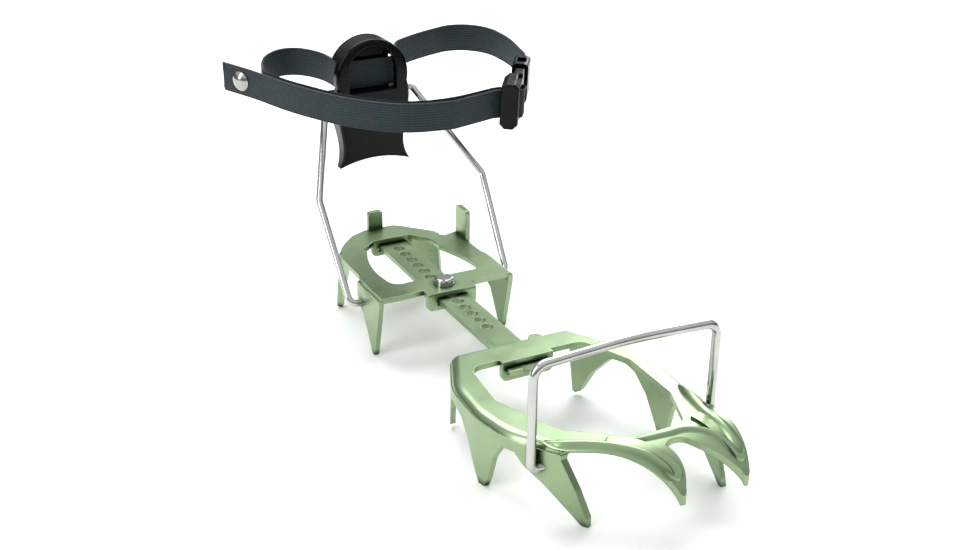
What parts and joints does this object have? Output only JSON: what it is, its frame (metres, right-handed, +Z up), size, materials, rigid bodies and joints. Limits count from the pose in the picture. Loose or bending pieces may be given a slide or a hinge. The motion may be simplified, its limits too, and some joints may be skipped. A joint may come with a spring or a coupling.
{
  "type": "crampon",
  "caption": "Strap-on crampon for a right boot: two toothed sheet frames on a perforated link bar, wire toe bail, wire heel bail with lever, ankle strap and buckle.",
  "frame": {"origin": "on the sole rest face, in the middle of the front frame's rear bar", "axes": "+X to the wearer's right, +Y from toe to heel along the link bar, +Z up from the teeth to the boot sole"},
  "size_m": [0.1521, 0.3035, 0.134],
  "materials": {
    "green_anodised_aluminium": "satin green anodised sheet",
    "steel_wire": "drawn and polished wire",
    "bright_steel": "bright plated",
    "black_plastic": "moulded, slightly glossy",
    "woven_webbing": "dark woven webbing"
  },
  "bodies": {
    "front_section": {"front_frame": "green_anodised_aluminium"},
    "toe_bail": {"front_bail": "steel_wire"},
    "heel_section": {"link_bar": "green_anodised_aluminium", "heel_frame": "green_anodised_aluminium", "washer": "bright_steel", "lock_nut": "bright_steel"},
    "screw": {"adjusting_screw": "bright_steel"},
    "heel_bail": {"heel_bail": "steel_wire"},
    "lever": {"heel_lever": "black_plastic", "strap_rear": "woven_webbing", "strap_fold": "woven_webbing", "loop_rivet_head": "bright_steel", "loop_rivet_back": "bright_steel", "buckle_body": "black_plastic"},
    "insert": {"buckle_insert": "black_plastic", "strap_front": "woven_webbing", "tail_rivet_head": "bright_steel", "tail_rivet_back": "bright_steel"}
  },
  "joints": [
    {"name": "link_bar_tilt", "type": "hinge", "parent": "front_section", "child": "heel_section", "pos_m": [0, -0.00725, -0.00415], "axis": [1, 0, 0], "range_deg": [-14, 1]},
    {"name": "toe_bail_turn", "type": "hinge", "parent": "front_section", "child": "toe_bail", "pos_m": [0, -0.073, -0.011], "axis": [1, 0, 0], "range_deg": [-10, 90]},
    {"name": "screw_turn", "type": "hinge", "parent": "heel_section", "child": "screw", "pos_m": [0, 0.075, 0], "axis": [0, 0, 1], "continuous": true},
    {"name": "heel_bail_turn", "type": "hinge", "parent": "heel_section", "child": "heel_bail", "pos_m": [0, 0.0925, -0.0105], "axis": [1, 0, 0], "range_deg": [-45, 75]},
    {"name": "lever_tilt", "type": "hinge", "parent": "heel_bail", "child": "lever", "pos_m": [0, 0.15952, 0.07227], "axis": [1, 0, 0], "range_deg": [-40, 40]},
    {"name": "buckle_slide", "type": "slide", "parent": "lever", "child": "insert", "axis": [-0.5664, -0.8221, -0.0575], "range_m": [0, 0.013]}
  ]
}
